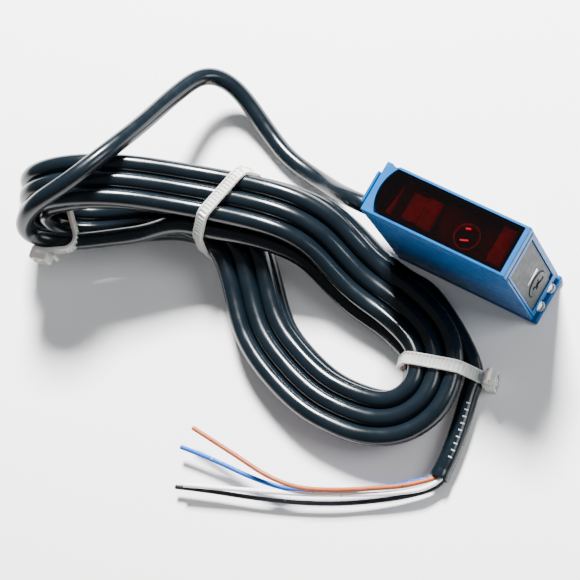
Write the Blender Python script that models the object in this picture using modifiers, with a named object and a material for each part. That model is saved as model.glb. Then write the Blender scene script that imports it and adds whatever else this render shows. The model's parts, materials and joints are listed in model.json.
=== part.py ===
"""Photoelectric sensor in a slim block housing, with its coiled cable, as an assembly of separate named parts.

Frame: the sensor stands on its back face at Z = 0 and looks along +Z. X runs along its length towards the
control end, Y across its width, and the cable leaves the -X end. The origin is the middle of the back face.
"""

import math

import bmesh
import bpy
import numpy as np
from mathutils import Matrix, Vector

MM = 0.001

# Housing
LENGTH = 46.5 * MM
WIDTH = 15.6 * MM
DEPTH = 41.5 * MM
HALF_LENGTH = LENGTH / 2
HALF_WIDTH = WIDTH / 2
OVERALL_HALF_LENGTH = 24.6 * MM
WALL = 1.2 * MM
GAP = 0.3 * MM
EDGE = 0.5 * MM
BACK_COVER = 2.2 * MM
SEAL = 0.5 * MM
HOUSING_BOTTOM = BACK_COVER + SEAL + 2 * GAP
FRAME_BOTTOM = 38.9 * MM
HOUSING_TOP = FRAME_BOTTOM - GAP

# Front window
RIM = 0.8 * MM
RIM_CONTROL_END = 1.5 * MM
WINDOW_CABLE_END = -21.4 * MM
WINDOW_ARC_SAGITTA = 2.2 * MM
WINDOW_THICKNESS = 1.5 * MM
WINDOW_TOP = DEPTH - 0.35 * MM
WINDOW_BOTTOM = WINDOW_TOP - WINDOW_THICKNESS

# Control end
PANEL_LOW = 7.2 * MM
PANEL_HIGH = 36.4 * MM
PANEL_HALF_WIDTH = 5.7 * MM
PANEL_THICKNESS = 0.7 * MM
PANEL_FACE = HALF_LENGTH - 0.35 * MM
KNOB_HEIGHT = 14.7 * MM
KNOB_RADIUS = 3.9 * MM
KNOB_SHAFT = 1.3 * MM
KNOB_FACE = HALF_LENGTH - 0.1 * MM
SLOT_LENGTH = 4.0 * MM
SLOT_WIDTH = 0.8 * MM
SLOT_DEPTH = 0.7 * MM
LED_OFFSET = 3.0 * MM
LED_HEIGHT = 3.4 * MM
LED_RADIUS = 1.6 * MM

# Cable
CABLE = 5.4 * MM
GLAND_END = -33.6 * MM
GLAND_HEIGHT = 12.0 * MM
CONDUCTOR = 1.4 * MM
BAND_HALF_WIDTH = 11.2 * MM
BAND_HALF_HEIGHT = 5.35 * MM
TIE_WIDTH = 4.2 * MM
TIE_REACH = 1.25 * MM
TIE_HEAD_WIDTH = 5.6 * MM
TIE_HEAD_LENGTH = 6.8 * MM
TIE_HEAD_HEIGHT = 4.4 * MM

# Middle line of the coil's bundle, once round, in mm. It starts at the left end, where the bundle turns
# upwards, runs back over itself past the middle tie, and goes round the open loop.
COIL_GUIDE = [
    (-126.5, -45.5, 18.5),
    (-123.0, -43.4, 27.4),
    (-114.0, -37.8, 30.8),
    (-101.0, -30.4, 28.4),
    (-88.0, -24.4, 23.4),
    (-75.0, -19.6, 19.8),
    (-62.0, -16.2, 18.6),
    (-50.0, -14.2, 16.6),
    (-39.0, -15.0, 12.2),
    (-28.0, -18.6, 8.2),
    (-17.4, -20.4, 6.2),
    (-7.0, -22.6, 6.4),
    (2.0, -26.6, 7.0),
    (8.2, -34.2, 7.5),
    (9.0, -43.6, 7.3),
    (3.8, -51.6, 6.6),
    (-5.4, -55.4, 5.8),
    (-17.0, -56.4, 5.6),
    (-27.0, -55.0, 5.6),
    (-37.0, -51.8, 5.6),
    (-47.0, -46.6, 5.6),
    (-56.4, -38.0, 6.0),
    (-64.4, -30.4, 7.4),
    (-74.0, -26.0, 7.6),
    (-86.0, -26.0, 7.0),
    (-99.0, -31.0, 5.7),
    (-112.0, -38.4, 5.6),
    (-122.0, -43.8, 9.8),
]

# Route of the cable from the gland to the coil, in mm.
LEAD_ROUTE = [
    (-34.0, 0.0, 12.0),
    (-40.0, 0.0, 11.6),
    (-47.5, 0.8, 8.2),
    (-55.0, 2.2, 4.4),
    (-62.5, 3.4, 2.8),
    (-70.0, 5.0, 2.8),
    (-77.5, 8.0, 3.2),
    (-85.5, 12.0, 5.0),
    (-93.5, 15.6, 8.0),
    (-100.0, 16.2, 11.4),
    (-104.0, 13.0, 14.8),
    (-105.2, 6.4, 18.8),
    (-105.2, -1.0, 23.2),
    (-104.6, -9.0, 28.4),
    (-104.4, -17.0, 33.6),
    (-105.0, -25.0, 38.0),
    (-107.0, -33.0, 40.4),
    (-111.0, -41.0, 40.6),
]

# Route of the cable from the coil to its cut end, in mm.
TAIL_ROUTE = [
    (21.4, -51.6, 2.9),
    (21.6, -54.0, 2.9),
    (21.8, -56.5, 2.8),
    (22.0, -59.0, 2.8),
]

# Routes of the four conductors from the cut end, in mm.
CONDUCTOR_ROUTES = {
    "brown": [
        (21.3, -59.6, 3.8),
        (20.5, -61.2, 4.2),
        (18.0, -63.7, 4.7),
        (14.0, -67.0, 5.1),
        (8.0, -70.9, 5.5),
        (0.5, -75.4, 5.8),
        (-6.5, -79.0, 6.0),
        (-12.1, -81.2, 6.2),
        (-17.7, -82.3, 6.3),
        (-23.9, -82.6, 6.4),
        (-30.3, -82.2, 6.4),
        (-36.6, -81.8, 6.4),
        (-43.2, -81.4, 6.3),
        (-50.1, -81.0, 6.2),
    ],
    "blue": [
        (21.2, -59.6, 2.0),
        (20.0, -60.9, 2.2),
        (16.9, -63.0, 2.5),
        (13.0, -66.5, 2.6),
        (7.0, -70.7, 2.7),
        (-0.5, -75.3, 2.8),
        (-7.6, -79.1, 2.9),
        (-13.5, -81.9, 3.0),
        (-18.4, -83.6, 3.2),
        (-24.1, -84.7, 3.5),
        (-30.0, -85.4, 3.8),
        (-37.2, -85.9, 4.0),
        (-44.5, -86.6, 4.1),
        (-51.3, -87.5, 4.1),
    ],
    "white": [
        (22.8, -59.6, 3.7),
        (22.2, -61.3, 3.8),
        (19.9, -64.5, 4.0),
        (15.8, -67.7, 4.2),
        (9.2, -71.9, 4.4),
        (0.8, -76.5, 4.6),
        (-7.9, -81.0, 4.7),
        (-15.6, -84.5, 4.7),
        (-23.4, -87.9, 4.7),
        (-30.8, -91.1, 4.7),
        (-37.9, -94.1, 4.7),
        (-44.0, -96.7, 4.7),
    ],
    "black": [
        (23.0, -59.6, 1.9),
        (22.6, -61.4, 1.9),
        (20.6, -64.3, 2.0),
        (17.3, -67.4, 2.1),
        (12.8, -71.0, 2.3),
        (6.3, -75.5, 2.5),
        (-1.2, -80.0, 2.7),
        (-9.2, -84.0, 2.8),
        (-16.7, -87.2, 2.9),
        (-24.7, -90.3, 3.0),
        (-33.0, -93.2, 3.0),
        (-39.9, -95.7, 3.0),
        (-46.7, -98.3, 3.0),
    ],
}

COLOURS = {
    "housing_blue": (0.00, 0.25, 0.72, 0.42, 0.0),
    "window_red": (0.05, 0.002, 0.004, 0.06, 0.0),
    "panel_grey": (0.11, 0.12, 0.13, 0.5, 0.0),
    "black_plastic": (0.012, 0.013, 0.015, 0.5, 0.0),
    "black_rubber": (0.01, 0.012, 0.014, 0.6, 0.0),
    "clear_plastic": (0.8, 0.82, 0.85, 0.05, 0.0),
    "red_optics": (0.35, 0.01, 0.015, 0.15, 0.0),
    "board_green": (0.01, 0.12, 0.05, 0.5, 0.0),
    "steel": (0.55, 0.56, 0.58, 0.3, 1.0),
    "brass": (0.62, 0.45, 0.2, 0.35, 1.0),
    "cable_black": (0.008, 0.013, 0.018, 0.25, 0.0),
    "tie_white": (0.8, 0.8, 0.76, 0.35, 0.0),
    "wire_brown": (0.42, 0.17, 0.08, 0.4, 0.0),
    "wire_blue": (0.0, 0.17, 0.66, 0.4, 0.0),
    "wire_white": (0.82, 0.8, 0.8, 0.4, 0.0),
    "wire_black": (0.01, 0.01, 0.014, 0.4, 0.0),
}


def clear_scene():
    for obj in list(bpy.data.objects):
        bpy.data.objects.remove(obj, do_unlink=True)


def new_collection(name, hidden=False):
    collection = bpy.data.collections.new(name)
    collection.hide_render = hidden
    bpy.context.scene.collection.children.link(collection)
    return collection


def make_material(name):
    red, green, blue, roughness, metallic = COLOURS[name]
    material = bpy.data.materials.new(name)
    material.use_nodes = True
    shader = material.node_tree.nodes["Principled BSDF"]
    shader.inputs["Base Color"].default_value = (red, green, blue, 1.0)
    shader.inputs["Roughness"].default_value = roughness
    shader.inputs["Metallic"].default_value = metallic
    return material


def add_object(name, data, material):
    obj = bpy.data.objects.new(name, data)
    if material:
        obj.data.materials.append(MATERIALS[material])
        PARTS.objects.link(obj)
    else:
        obj.hide_render = True
        obj.display_type = "WIRE"
        CUTTERS.objects.link(obj)
    return obj


def add_box(name, low, high, material=None, bevel=0.0):
    """A box between two corners. Without a material it is a cutter."""
    size = Vector(high) - Vector(low)
    centre = (Vector(high) + Vector(low)) / 2
    mesh = bpy.data.meshes.new(name)
    shape = bmesh.new()
    bmesh.ops.create_cube(shape, size=1.0)
    bmesh.ops.scale(shape, vec=size, verts=shape.verts)
    shape.to_mesh(mesh)
    shape.free()
    obj = add_object(name, mesh, material)
    obj.location = centre
    if bevel:
        add_bevel(obj, bevel)
    return obj


def add_bevel(obj, width, segments=2):
    bevel = obj.modifiers.new("edges", "BEVEL")
    bevel.width = width
    bevel.segments = segments
    bevel.limit_method = "ANGLE"
    return bevel


def add_turned(name, profile, location, axis, material=None, steps=32):
    """A turned piece. The profile is (radius, height) pairs down its outer side, and height lies along the axis."""
    mesh = bpy.data.meshes.new(name)
    points = [(radius, 0.0, height) for radius, height in profile]
    mesh.from_pydata(points, [(i, i + 1) for i in range(len(points) - 1)], [])
    obj = add_object(name, mesh, material)
    screw = obj.modifiers.new("turn", "SCREW")
    screw.steps = steps
    screw.render_steps = steps
    screw.use_merge_vertices = True
    screw.merge_threshold = 0.00001
    screw.use_smooth_shade = False
    obj.location = location
    obj.rotation_euler = Vector(axis).to_track_quat("Z", "Y").to_euler()
    return obj


def add_pin(name, radius, length, location, axis, material=None, steps=32):
    """A plain round bar, centred on its location."""
    half = length / 2
    profile = [(0.0, half), (radius, half), (radius, -half), (0.0, -half)]
    return add_turned(name, profile, location, axis, material, steps)


def cut(obj, *cutters):
    for cutter in cutters:
        boolean = obj.modifiers.new(cutter.name, "BOOLEAN")
        boolean.operation = "DIFFERENCE"
        boolean.object = cutter


def join(obj, *others):
    """Unites other helper solids with the object."""
    for other in others:
        boolean = obj.modifiers.new(other.name, "BOOLEAN")
        boolean.operation = "UNION"
        boolean.object = other


def add_outline(name, outlines, thickness, material=None):
    """A flat shape of one or more closed outlines in its own XY plane, the first outside and the others holes."""
    curve = bpy.data.curves.new(name, "CURVE")
    curve.dimensions = "2D"
    curve.fill_mode = "BOTH"
    curve.extrude = thickness / 2
    for outline in outlines:
        spline = curve.splines.new("POLY")
        spline.points.add(len(outline) - 1)
        spline.use_cyclic_u = True
        for point, (x, y) in zip(spline.points, outline):
            point.co = (x, y, 0.0, 1.0)
    return add_object(name, curve, material)


def make_mesh(obj):
    """Turns a curve object into a mesh object with the same name, material and place."""
    bpy.context.view_layer.update()
    graph = bpy.context.evaluated_depsgraph_get()
    mesh = bpy.data.meshes.new_from_object(obj.evaluated_get(graph), depsgraph=graph)
    shape = bmesh.new()
    shape.from_mesh(mesh)
    bmesh.ops.remove_doubles(shape, verts=shape.verts, dist=0.000001)
    bmesh.ops.recalc_face_normals(shape, faces=shape.faces)
    shape.to_mesh(mesh)
    shape.free()
    name = obj.name
    is_part = not obj.hide_render
    material = mesh.materials[0].name if is_part else None
    place = obj.matrix_world.copy()
    bpy.data.objects.remove(obj, do_unlink=True)
    mesh.materials.clear()
    made = add_object(name, mesh, material)
    made.matrix_world = place
    return made


def smooth_curve(points, per_span, closed=False):
    """A smooth curve through the points, as an array with per_span points to a span."""
    knots = np.array(points, float)
    count = len(knots)
    system = 4 * np.eye(count) + np.eye(count, k=1) + np.eye(count, k=-1)
    if closed:
        system[0, -1] = 1
        system[-1, 0] = 1
        rise = 3 * (np.roll(knots, -1, 0) - np.roll(knots, 1, 0))
    else:
        system[0, 0] = 2
        system[-1, -1] = 2
        rise = 3 * np.vstack([knots[1:2] - knots[:1], knots[2:] - knots[:-2], knots[-1:] - knots[-2:-1]])
    slopes = np.linalg.solve(system, rise)
    if closed:
        knots = np.vstack([knots, knots[:1]])
        slopes = np.vstack([slopes, slopes[:1]])
    s = np.linspace(0, 1, per_span, endpoint=False)[:, None]
    spans = [
        (2 * s**3 - 3 * s**2 + 1) * a
        + (s**3 - 2 * s**2 + s) * slope_a
        + (3 * s**2 - 2 * s**3) * b
        + (s**3 - s**2) * slope_b
        for a, b, slope_a, slope_b in zip(knots, knots[1:], slopes, slopes[1:])
    ]
    if not closed:
        spans.append(knots[-1:])
    return np.vstack(spans)


def add_tube(name, route, diameter, material, sides=2):
    """A round tube with closed ends along a smooth curve through the route, whose points are in mm."""
    points = smooth_curve(route, 2) * MM
    curve = bpy.data.curves.new(name, "CURVE")
    curve.dimensions = "3D"
    curve.bevel_depth = diameter / 2
    curve.bevel_resolution = sides
    curve.use_fill_caps = True
    spline = curve.splines.new("POLY")
    spline.points.add(len(points) - 1)
    for point, place in zip(spline.points, points):
        point.co = (*place, 1.0)
    return add_object(name, curve, material)


def coil_frames(per_span):
    """Points, sideways directions and upward directions along the coil's middle line."""
    centres = smooth_curve(COIL_GUIDE, per_span, closed=True)
    along = np.roll(centres, -1, 0) - np.roll(centres, 1, 0)
    along /= np.linalg.norm(along, axis=1)[:, None]
    place = np.arange(len(centres))
    steady = np.hypot(along[:, 0], along[:, 1]) > 0.75
    headings = np.unwrap(np.arctan2(along[steady, 1], along[steady, 0]))
    heading = np.interp(place, place[steady], headings)
    side = np.stack([-np.sin(heading), np.cos(heading), 0 * heading], 1)
    up = np.cross(along, side)
    up /= np.linalg.norm(up, axis=1)[:, None]
    return centres * MM, side, up


def build_housing():
    housing = add_box(
        "housing",
        (-HALF_LENGTH, -HALF_WIDTH, HOUSING_BOTTOM),
        (HALF_LENGTH, HALF_WIDTH, HOUSING_TOP),
        "housing_blue",
        EDGE,
    )
    inside = add_box(
        "housing_inside",
        (-HALF_LENGTH + WALL, -HALF_WIDTH + WALL, 0.0),
        (HALF_LENGTH - 1.6 * WALL, HALF_WIDTH - WALL, DEPTH),
    )
    pocket = add_box(
        "panel_pocket",
        (PANEL_FACE - PANEL_THICKNESS - GAP, -PANEL_HALF_WIDTH - GAP, PANEL_LOW - GAP),
        (HALF_LENGTH + WALL, PANEL_HALF_WIDTH + GAP, PANEL_HIGH + GAP),
    )
    knob_hole = add_pin("knob_hole", KNOB_SHAFT + GAP, 6 * WALL, (HALF_LENGTH, 0, KNOB_HEIGHT), (1, 0, 0))
    cable_hole = add_pin("cable_hole", CABLE / 2 + 1.3 * MM, 6 * WALL, (-HALF_LENGTH, 0, GLAND_HEIGHT), (1, 0, 0))
    groove = add_box(
        "side_groove",
        (HALF_LENGTH - 0.4 * MM, -HALF_WIDTH + 0.7 * MM, -DEPTH),
        (HALF_LENGTH + WALL, -HALF_WIDTH + 1.1 * MM, 2 * DEPTH),
    )
    cut(housing, inside, pocket, knob_hole, cable_hole, groove)
    for side in (-1, 1):
        seat = add_pin(
            f"led_seat_{side}",
            LED_RADIUS + GAP,
            8 * WALL,
            (HALF_LENGTH, side * LED_OFFSET, LED_HEIGHT),
            (1, 0, 0),
        )
        cut(housing, seat)
    for height in (9.0 * MM, 32.0 * MM):
        hole = add_pin(
            f"insert_hole_{height:.3f}", 2.9 * MM, 4 * WALL, (-17.5 * MM, HALF_WIDTH, height), (0, 1, 0)
        )
        cut(housing, hole)
    return housing


def build_cable_end():
    """The stepped block on the cable end, which the gland passes through."""
    block = add_box(
        "cable_end_block",
        (-OVERALL_HALF_LENGTH, -5.8 * MM, 5.0 * MM),
        (-HALF_LENGTH - GAP, 4.4 * MM, DEPTH - 0.3 * MM),
        "housing_blue",
        EDGE,
    )
    hole = add_pin("block_hole", CABLE / 2 + 1.3 * MM, 6 * WALL, (-HALF_LENGTH, 0, GLAND_HEIGHT), (1, 0, 0))
    cut(block, hole)


def build_back_cover():
    cover = add_box(
        "rear_cover",
        (-HALF_LENGTH, -HALF_WIDTH, 0.0),
        (HALF_LENGTH + 0.9 * MM, HALF_WIDTH, BACK_COVER),
        "housing_blue",
        EDGE,
    )
    for side in (-1, 1):
        notch = add_pin(
            f"cover_notch_{side}",
            LED_RADIUS + GAP,
            8 * WALL,
            (HALF_LENGTH, side * LED_OFFSET, LED_HEIGHT),
            (1, 0, 0),
        )
        cut(cover, notch)
    seal = add_box(
        "rear_cover_seal",
        (-HALF_LENGTH + 0.4 * MM, -HALF_WIDTH + 0.4 * MM, BACK_COVER + GAP),
        (HALF_LENGTH - 3.6 * MM, HALF_WIDTH - 0.4 * MM, BACK_COVER + GAP + SEAL),
        "black_rubber",
    )
    opening = add_box(
        "seal_opening",
        (-HALF_LENGTH + 1.8 * MM, -HALF_WIDTH + 1.8 * MM, 0.0),
        (HALF_LENGTH - 5.0 * MM, HALF_WIDTH - 1.8 * MM, DEPTH),
    )
    cut(seal, opening)
    corners = [(x, y) for x in (-19.8 * MM, 14.8 * MM) for y in (-5.0 * MM, 5.0 * MM)]
    for number, (x, y) in enumerate(corners, 1):
        head = 1.5 * MM
        shank = 0.8 * MM
        profile = [
            (0.0, 0.0),
            (head, 0.0),
            (shank, -1.0 * MM),
            (shank, -1.7 * MM),
            (0.0, -1.7 * MM),
        ]
        add_turned(f"cover_screw_{number}", profile, (x, y, 0.35 * MM), (0, 0, -1), "steel", 24)
        sink = [
            (0.0, 0.6 * MM),
            (head + GAP, 0.6 * MM),
            (head + GAP, -0.05 * MM),
            (shank + GAP, -1.3 * MM),
            (shank + GAP, -1.75 * MM - GAP),
            (0.0, -1.75 * MM - GAP),
        ]
        cut(cover, add_turned(f"screw_sink_{number}", sink, (x, y, 0.35 * MM), (0, 0, -1), None, 24))


def window_outline(low, high, half_width, sagitta, steps=12):
    """The window's outline: square at the control end, and bulging in an arc at the cable end."""
    radius = (half_width**2 + sagitta**2) / (2 * sagitta)
    sweep = math.asin(half_width / radius)
    middle = low - sagitta + radius
    arc = [
        (middle - radius * math.cos(angle), radius * math.sin(angle))
        for angle in np.linspace(sweep, -sweep, steps + 1)
    ]
    return [(high, -half_width), (high, half_width)] + arc


def build_front():
    frame = add_box(
        "front_frame",
        (-HALF_LENGTH, -HALF_WIDTH, FRAME_BOTTOM),
        (HALF_LENGTH, HALF_WIDTH, DEPTH),
        "housing_blue",
        0.3 * MM,
    )
    high = HALF_LENGTH - RIM_CONTROL_END
    low = WINDOW_CABLE_END + WINDOW_ARC_SAGITTA
    opening = window_outline(low, high, HALF_WIDTH - RIM, WINDOW_ARC_SAGITTA)
    cutter = add_outline("window_opening", [opening], 2 * (DEPTH - WINDOW_BOTTOM + GAP))
    cutter.location = (0, 0, DEPTH)
    through = add_box(
        "frame_opening",
        (-HALF_LENGTH + 4.2 * MM, -HALF_WIDTH + RIM + 1.2 * MM, 0),
        (high - 1.2 * MM, HALF_WIDTH - RIM - 1.2 * MM, 2 * DEPTH),
    )
    dip = add_pin("frame_dip", 1.4 * MM, 4 * WALL, (-20.2 * MM, HALF_WIDTH + 0.7 * MM, DEPTH), (0, 0, 1))
    cut(frame, make_mesh(cutter), through, dip)
    inset = window_outline(low + GAP, high - GAP, HALF_WIDTH - RIM - GAP, WINDOW_ARC_SAGITTA)
    window = add_outline("front_window", [inset], WINDOW_THICKNESS, "window_red")
    window.location = (0, 0, (WINDOW_TOP + WINDOW_BOTTOM) / 2)
    make_mesh(window)


def build_control_panel():
    face = (PANEL_FACE - PANEL_THICKNESS, PANEL_FACE)
    panel = add_box(
        "control_panel",
        (face[0], -PANEL_HALF_WIDTH, PANEL_LOW),
        (face[1], PANEL_HALF_WIDTH, PANEL_HIGH),
        "panel_grey",
    )
    hole = add_pin("panel_hole", KNOB_RADIUS + GAP, 4 * WALL, (HALF_LENGTH, 0, KNOB_HEIGHT), (1, 0, 0))
    cut(panel, hole)
    corner = add_box(
        "panel_corner",
        (0, PANEL_HALF_WIDTH - 1.5 * MM, PANEL_LOW - 2 * MM),
        (DEPTH, PANEL_HALF_WIDTH + 3 * MM, PANEL_LOW + 1.5 * MM),
    )
    cut(panel, corner)


def build_knob():
    """The sensitivity adjuster: a disc with a cross slot, on a shaft into the potentiometer."""
    pivot = bpy.data.objects.new("sensitivity_axis", None)
    pivot.location = (HALF_LENGTH, 0, KNOB_HEIGHT)
    PARTS.objects.link(pivot)
    face = KNOB_FACE - HALF_LENGTH
    back = PANEL_FACE - PANEL_THICKNESS - HALF_LENGTH
    shaft_end = -5.2 * MM
    profile = [
        (0.0, face),
        (KNOB_RADIUS - 0.2 * MM, face),
        (KNOB_RADIUS, face - 0.2 * MM),
        (KNOB_RADIUS, back),
        (KNOB_SHAFT, back),
        (KNOB_SHAFT, shaft_end),
        (0.0, shaft_end),
    ]
    knob = add_turned("sensitivity_knob", profile, (0, 0, 0), (1, 0, 0), "black_plastic")
    knob.parent = pivot
    for number, turn in enumerate((0.0, math.pi / 2)):
        slot = add_box(
            f"knob_slot_{number}",
            (face - SLOT_DEPTH, -SLOT_LENGTH / 2, -SLOT_WIDTH / 2),
            (face + SLOT_DEPTH, SLOT_LENGTH / 2, SLOT_WIDTH / 2),
        )
        slot.parent = pivot
        slot.rotation_euler = (turn, 0, 0)
        cut(knob, slot)
    body = add_box(
        "potentiometer",
        (15.4 * MM, -3.4 * MM, KNOB_HEIGHT - 3.4 * MM),
        (20.6 * MM, 3.4 * MM, KNOB_HEIGHT + 3.4 * MM),
        "steel",
        0.3 * MM,
    )
    bore = add_pin("potentiometer_bore", KNOB_SHAFT + GAP, 7 * MM, (20.6 * MM, 0, KNOB_HEIGHT), (1, 0, 0))
    cut(body, bore)


def build_indicators():
    """Two clear domes at the back edge of the control end, each over its own indicator lamp."""
    dome = OVERALL_HALF_LENGTH - HALF_LENGTH
    arc = [
        (LED_RADIUS * math.sin(angle), dome - LED_RADIUS * 0.85 * (1 - math.cos(angle)))
        for angle in np.linspace(0, math.pi / 2, 7)
    ]
    for name, side in (("power", -1), ("output", 1)):
        place = (HALF_LENGTH, side * LED_OFFSET, LED_HEIGHT)
        profile = arc + [(LED_RADIUS, -2.6 * MM), (0.0, -2.6 * MM)]
        add_turned(f"{name}_light_lens", profile, place, (1, 0, 0), "clear_plastic")
        add_box(
            f"{name}_led",
            (18.4 * MM, side * LED_OFFSET - 0.8 * MM, LED_HEIGHT + 0.3 * MM),
            (19.8 * MM, side * LED_OFFSET + 0.8 * MM, LED_HEIGHT + 1.6 * MM),
            "clear_plastic",
        )


def build_optics():
    """The carrier with its two lenses, and the red plates that show through the window."""
    top = WINDOW_BOTTOM - 0.9 * MM
    carrier = add_box(
        "optics_carrier",
        (-20.0 * MM, -6.2 * MM, 24.0 * MM),
        (20.2 * MM, 5.6 * MM, top - 1.8 * MM),
        "black_plastic",
    )
    lenses = (
        ("receiver", 7.1 * MM, -1.4 * MM, 3.9 * MM, 2.6 * MM),
        ("emitter", -8.6 * MM, 0.0, 3.4 * MM, 4.6 * MM),
    )
    for name, x, y, radius, drop in lenses:
        tube = add_pin(f"{name}_tube", radius + GAP, 3 * DEPTH / 4, (x, y, 24.0 * MM), (0, 0, 1))
        cut(carrier, tube)
        crown = [
            (radius * math.sin(angle), 0.4 * MM + 1.4 * MM * math.cos(angle))
            for angle in np.linspace(0, math.pi / 2, 7)
        ]
        profile = crown + [(radius, -0.6 * MM), (0.0, -0.6 * MM)]
        add_turned(f"{name}_lens", profile, (x, y, top - drop), (0, 0, 1), "red_optics")
        add_box(
            f"{name}_chip",
            (x - 1.5 * MM, y - 1.5 * MM, 22.6 * MM),
            (x + 1.5 * MM, y + 1.5 * MM, 24.4 * MM),
            "black_plastic",
        )
    plate_low = top - 1.4 * MM
    for name, low, high, near, far in (
        ("emitter_prism", -12.2 * MM, -7.7 * MM, -4.5 * MM, 3.5 * MM),
        ("filter_plate", -7.3 * MM, -3.3 * MM, -4.7 * MM, 3.9 * MM),
        ("receiver_prism", 15.4 * MM, 19.4 * MM, -5.2 * MM, 5.6 * MM),
    ):
        add_box(name, (low, near, plate_low), (high, far, top), "red_optics")


def build_electronics():
    add_box(
        "main_board",
        (-19.4 * MM, -5.4 * MM, 20.9 * MM),
        (19.4 * MM, 5.4 * MM, 22.1 * MM),
        "board_green",
    )
    add_box(
        "side_board",
        (-19.4 * MM, 4.0 * MM, 4.2 * MM),
        (14.6 * MM, 5.2 * MM, 20.4 * MM),
        "board_green",
    )
    add_box(
        "output_transistor",
        (-2.0 * MM, 0.6 * MM, 8.0 * MM),
        (4.0 * MM, 3.7 * MM, 14.0 * MM),
        "black_plastic",
    )
    add_box(
        "wire_terminal",
        (-14.0 * MM, -0.8 * MM, 7.0 * MM),
        (-10.0 * MM, 3.7 * MM, 17.0 * MM),
        "clear_plastic",
    )
    for number, height in enumerate((9.0 * MM, 32.0 * MM), 1):
        insert = add_pin(
            f"mounting_insert_{number}",
            2.6 * MM,
            1.8 * MM,
            (-17.5 * MM, HALF_WIDTH - 0.95 * MM, height),
            (0, 1, 0),
            "brass",
        )
        bore = add_pin(f"insert_bore_{number}", 2.0 * MM, 4 * MM, (-17.5 * MM, HALF_WIDTH, height), (0, 1, 0))
        cut(insert, bore)


def build_gland():
    """The tapered strain relief at the cable end, and the ring that seals it inside the housing."""
    flange = CABLE / 2 + 2.6 * MM
    neck = CABLE / 2 + 1.0 * MM
    inner = 19.2 * MM
    profile = [
        (0.0, -GLAND_END),
        (CABLE / 2 + 0.35 * MM, -GLAND_END),
        (neck, 27.5 * MM),
        (flange - 0.4 * MM, 26.6 * MM),
        (flange - 0.4 * MM, OVERALL_HALF_LENGTH + GAP),
        (neck, OVERALL_HALF_LENGTH + GAP),
        (neck, inner),
        (0.0, inner),
    ]
    add_turned("cable_gland", profile, (0, 0, GLAND_HEIGHT), (-1, 0, 0), "black_rubber", 24)
    ring = [
        (flange, 21.6 * MM),
        (flange, 20.4 * MM),
        (neck + GAP, 20.4 * MM),
        (neck + GAP, 21.6 * MM),
        (flange, 21.6 * MM),
    ]
    add_turned("gland_seal", ring, (0, 0, GLAND_HEIGHT), (-1, 0, 0), "black_rubber", 24)


def build_cable():
    add_tube("cable_lead", LEAD_ROUTE, CABLE, "cable_black", 3)
    add_tube("cable_tail", TAIL_ROUTE, CABLE, "cable_black", 3)
    for colour, route in CONDUCTOR_ROUTES.items():
        add_tube(f"conductor_{colour}", route, CONDUCTOR, f"wire_{colour}")


def build_coil():
    """The coil's outer shape: a flat band swept round the guide, which turns half over at the left end."""
    centres, sides, ups = coil_frames(4)
    chamfer = 0.72
    section = [(1, chamfer), (chamfer, 1), (-chamfer, 1), (-1, chamfer)]
    section += [(-a, -b) for a, b in section]
    shape = bmesh.new()
    rings = [
        [
            shape.verts.new(centre + side * a * BAND_HALF_WIDTH + up * b * BAND_HALF_HEIGHT)
            for a, b in section
        ]
        for centre, side, up in zip(centres, sides, ups)
    ]
    half = len(section) // 2
    rings.append(rings[0][half:] + rings[0][:half])
    for ring, following in zip(rings, rings[1:]):
        for i in range(len(section)):
            j = (i + 1) % len(section)
            shape.faces.new((ring[i], ring[j], following[j], following[i]))
    bmesh.ops.recalc_face_normals(shape, faces=shape.faces)
    mesh = bpy.data.meshes.new("cable_coil")
    shape.to_mesh(mesh)
    shape.free()
    add_object("cable_coil", mesh, "cable_black")


def add_tie(name, inner, place, across, upward, head_at):
    """A cable tie round a bundle. Its inner outline lies in the plane of two directions, in mm from its place."""
    middle = np.mean(inner, axis=0)
    outer = []
    for point in inner:
        out = np.array(point) - middle
        outer.append((np.array(point) + out / np.linalg.norm(out) * TIE_REACH / MM) * MM)
    inner = [(x * MM, y * MM) for x, y in inner]
    tie = add_outline(name, [outer, inner], TIE_WIDTH, "tie_white")
    through = Vector(across).cross(Vector(upward))
    turn = Matrix((across, upward, through)).transposed()
    tie.matrix_world = Matrix.Translation(Vector(place) * MM) @ turn.to_4x4()
    tie = make_mesh(tie)
    x, y = head_at
    low = (x * MM, y * MM, -TIE_HEAD_WIDTH / 2)
    high = (x * MM + TIE_HEAD_HEIGHT, y * MM + TIE_HEAD_LENGTH, TIE_HEAD_WIDTH / 2)
    head = add_box(f"{name}_head", low, high)
    head.matrix_world = tie.matrix_world @ head.matrix_basis
    join(tie, head)


def heading_vector(degrees):
    """A level direction at an angle from +X."""
    angle = math.radians(degrees)
    return Vector((math.cos(angle), math.sin(angle), 0))


def build_ties():
    level = Vector((0, 0, 1))
    add_tie(
        "cable_tie_middle",
        [
            (14.4, 15.0),
            (14.4, 24.2),
            (10.6, 27.0),
            (-9.8, 29.4),
            (-14.2, 28.4),
            (-17.8, 12.2),
            (-17.8, 3.2),
            (-13.4, 1.3),
            (4.8, 1.3),
            (8.8, 3.4),
        ],
        (-77.0, -21.0, 0.0),
        heading_vector(85),
        level,
        (14.6, 16.0),
    )
    add_tie(
        "cable_tie_right",
        [
            (12.6, 3.4),
            (12.6, 12.2),
            (9.0, 14.2),
            (-10.4, 14.2),
            (-15.0, 12.2),
            (-15.0, 2.6),
            (-12.2, 1.3),
            (8.8, 1.3),
        ],
        (7.0, -32.6, 0.0),
        heading_vector(16),
        level,
        (12.8, 3.6),
    )
    add_tie(
        "cable_tie_left",
        [
            (12.6, 5.6),
            (9.6, 7.2),
            (-9.6, 7.2),
            (-12.6, 5.6),
            (-12.6, -5.4),
            (-9.6, -7.4),
            (9.6, -7.4),
            (12.6, -5.4),
        ],
        (-126.5, -45.5, 18.5),
        heading_vector(-59),
        heading_vector(31),
        (12.6, -3.6),
    )


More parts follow.
